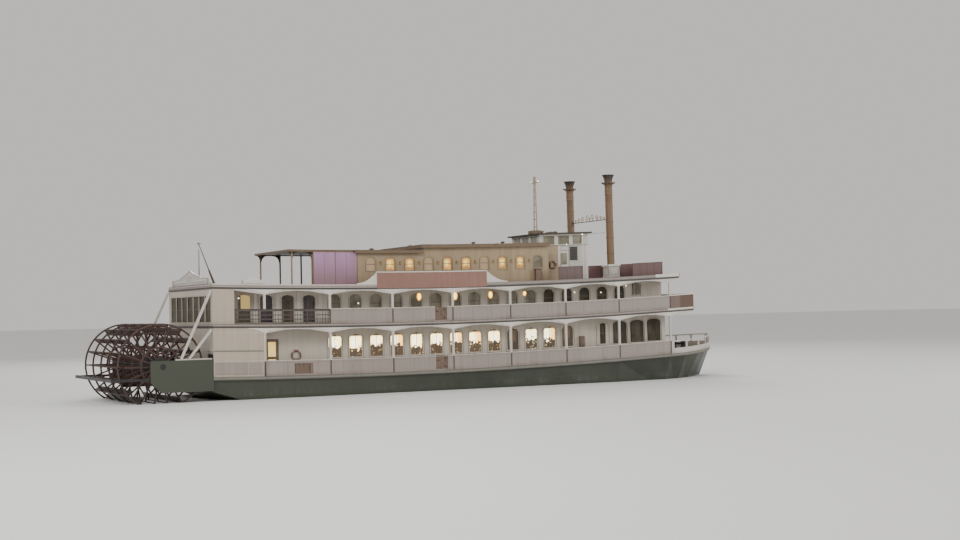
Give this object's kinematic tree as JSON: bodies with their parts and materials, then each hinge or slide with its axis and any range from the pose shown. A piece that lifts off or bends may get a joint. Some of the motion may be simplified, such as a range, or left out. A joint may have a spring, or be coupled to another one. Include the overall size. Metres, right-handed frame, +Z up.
{
  "type": "stern-wheel paddle steamer, 1:2 scale model",
  "caption": "Half-size model of a passenger stern-wheel paddle steamer with turning wheel, rudders, doors and boarding gates, galleried decks, pilot house and crowned stacks.",
  "frame": {"origin": "on the centreline amidships, at the water's surface", "axes": "+X towards the bow, +Y to port, +Z up"},
  "size_m": [25.42, 5.45, 8.87],
  "materials": {
    "cream_paint": "satin white-cream ship's paint, slightly weathered",
    "hull_paint": "very dark green hull paint with water marks",
    "red_paint": "dark red satin paint",
    "buff_paint": "buff satin paint",
    "roof_paint": "matt dark roof covering",
    "stack_paint": "dark brown-black heat-proof paint",
    "wheel_paint": "dark red paint, wet and worn on the boards",
    "varnished_wood": "brown varnished wood",
    "dark_steel": "black painted steel"
  },
  "bodies": {
    "ship": {"hull": "hull_paint", "main_deck": "cream_paint", "upper_deck": "cream_paint", "top_deck": "cream_paint", "main_bulwark_starboard": "cream_paint", "main_bulwark_port": "cream_paint", "upper_bulwark_starboard": "cream_paint", "upper_bulwark_port": "cream_paint", "bow_bulwark": "cream_paint", "balcony_bulwark": "red_paint", "forward_bulwark": "red_paint", "main_colonnade_starboard": "cream_paint", "main_colonnade_port": "cream_paint", "upper_colonnade_starboard": "cream_paint", "upper_colonnade_port": "cream_paint", "main_side_starboard": "cream_paint", "main_side_port": "cream_paint", "main_front": "cream_paint", "engine_room_wall": "cream_paint", "engine_block": "dark_steel", "upper_side_starboard": "cream_paint", "upper_side_port": "cream_paint", "upper_front": "cream_paint", "stern_gallery": "cream_paint", "stern_pediment": "cream_paint", "name_board_starboard": "red_paint", "name_board_port": "red_paint", "top_side_starboard": "buff_paint", "top_side_port": "buff_paint", "top_aft": "buff_paint", "top_front": "buff_paint", "top_roof": "roof_paint", "aft_canopy": "roof_paint", "pilot_house": "cream_paint", "pilot_roof": "roof_paint", "stack_starboard": "stack_paint", "stack_port": "stack_paint", "stack_spreader": "stack_paint", "mast": "dark_steel", "flagstaff": "dark_steel", "wheel_beam_starboard": "hull_paint", "wheel_beam_port": "hull_paint", "stern_guard": "dark_steel", "stern_brace_starboard": "cream_paint", "stern_brace_port": "cream_paint"},
    "paddle_wheel": {"paddle_wheel": "wheel_paint"},
    "rudder_starboard": {"rudder_starboard": "hull_paint"},
    "rudder_port": {"rudder_port": "hull_paint"},
    "main_side_door_starboard": {"main_side_door_starboard": "varnished_wood"},
    "main_side_door_port": {"main_side_door_port": "varnished_wood"},
    "main_front_door_starboard": {"main_front_door_starboard": "varnished_wood"},
    "main_front_door_port": {"main_front_door_port": "varnished_wood"},
    "upper_front_door": {"upper_front_door": "varnished_wood"},
    "pilot_door_starboard": {"pilot_door_starboard": "varnished_wood"},
    "pilot_door_port": {"pilot_door_port": "varnished_wood"},
    "main_gate_starboard": {"main_gate_starboard": "varnished_wood"},
    "main_gate_port": {"main_gate_port": "varnished_wood"},
    "upper_gate_starboard": {"upper_gate_starboard": "varnished_wood"},
    "upper_gate_port": {"upper_gate_port": "varnished_wood"}
  },
  "joints": [
    {"name": "wheel_turn", "type": "hinge", "parent": "ship", "child": "paddle_wheel", "pos_m": [-12.7558, 0, 1.2], "axis": [0, 1, 0], "continuous": true},
    {"name": "rudder_starboard_turn", "type": "hinge", "parent": "ship", "child": "rudder_starboard", "pos_m": [-10.2542, -1.2, -0.142], "axis": [0, 0, 1], "range_deg": [-35, 35]},
    {"name": "rudder_port_turn", "type": "hinge", "parent": "ship", "child": "rudder_port", "pos_m": [-10.2542, 1.2, -0.142], "axis": [0, 0, 1], "range_deg": [-35, 35]},
    {"name": "main_side_door_starboard_swing", "type": "hinge", "parent": "ship", "child": "main_side_door_starboard", "pos_m": [-8.6096, -2.1, 0.80273], "axis": [0, 0, -1], "range_deg": [0, 90]},
    {"name": "main_side_door_port_swing", "type": "hinge", "parent": "ship", "child": "main_side_door_port", "pos_m": [-8.6096, 2.1, 0.80273], "axis": [0, 0, 1], "range_deg": [0, 90]},
    {"name": "main_front_door_starboard_swing", "type": "hinge", "parent": "ship", "child": "main_front_door_starboard", "pos_m": [7.3736, -0.44, 1.04598], "axis": [0, 0, -1], "range_deg": [0, 90]},
    {"name": "main_front_door_port_swing", "type": "hinge", "parent": "ship", "child": "main_front_door_port", "pos_m": [7.3736, 0.44, 1.04598], "axis": [0, 0, 1], "range_deg": [0, 90]},
    {"name": "upper_front_door_swing", "type": "hinge", "parent": "ship", "child": "upper_front_door", "pos_m": [7.232, -0.205, 2.78895], "axis": [0, 0, -1], "range_deg": [0, 90]},
    {"name": "pilot_door_starboard_swing", "type": "hinge", "parent": "ship", "child": "pilot_door_starboard", "pos_m": [3.66255, -1.075, 3.99906], "axis": [0, 0, -1], "range_deg": [0, 90]},
    {"name": "pilot_door_port_swing", "type": "hinge", "parent": "ship", "child": "pilot_door_port", "pos_m": [3.66255, 1.075, 3.99906], "axis": [0, 0, 1], "range_deg": [0, 90]},
    {"name": "main_gate_starboard_swing", "type": "hinge", "parent": "ship", "child": "main_gate_starboard", "pos_m": [-2.449, -2.7, 0.7749], "axis": [0, 0, -1], "range_deg": [0, 90]},
    {"name": "main_gate_port_swing", "type": "hinge", "parent": "ship", "child": "main_gate_port", "pos_m": [-2.449, 2.7, 0.7749], "axis": [0, 0, 1], "range_deg": [0, 90]},
    {"name": "upper_gate_starboard_swing", "type": "hinge", "parent": "ship", "child": "upper_gate_starboard", "pos_m": [-2.449, -2.7, 2.5249], "axis": [0, 0, -1], "range_deg": [0, 90]},
    {"name": "upper_gate_port_swing", "type": "hinge", "parent": "ship", "child": "upper_gate_port", "pos_m": [-2.449, 2.7, 2.5249], "axis": [0, 0, 1], "range_deg": [0, 90]}
  ],
  "couplings": [
    {"joint": "rudder_port_turn", "follows": "rudder_starboard_turn", "ratio": 1}
  ]
}
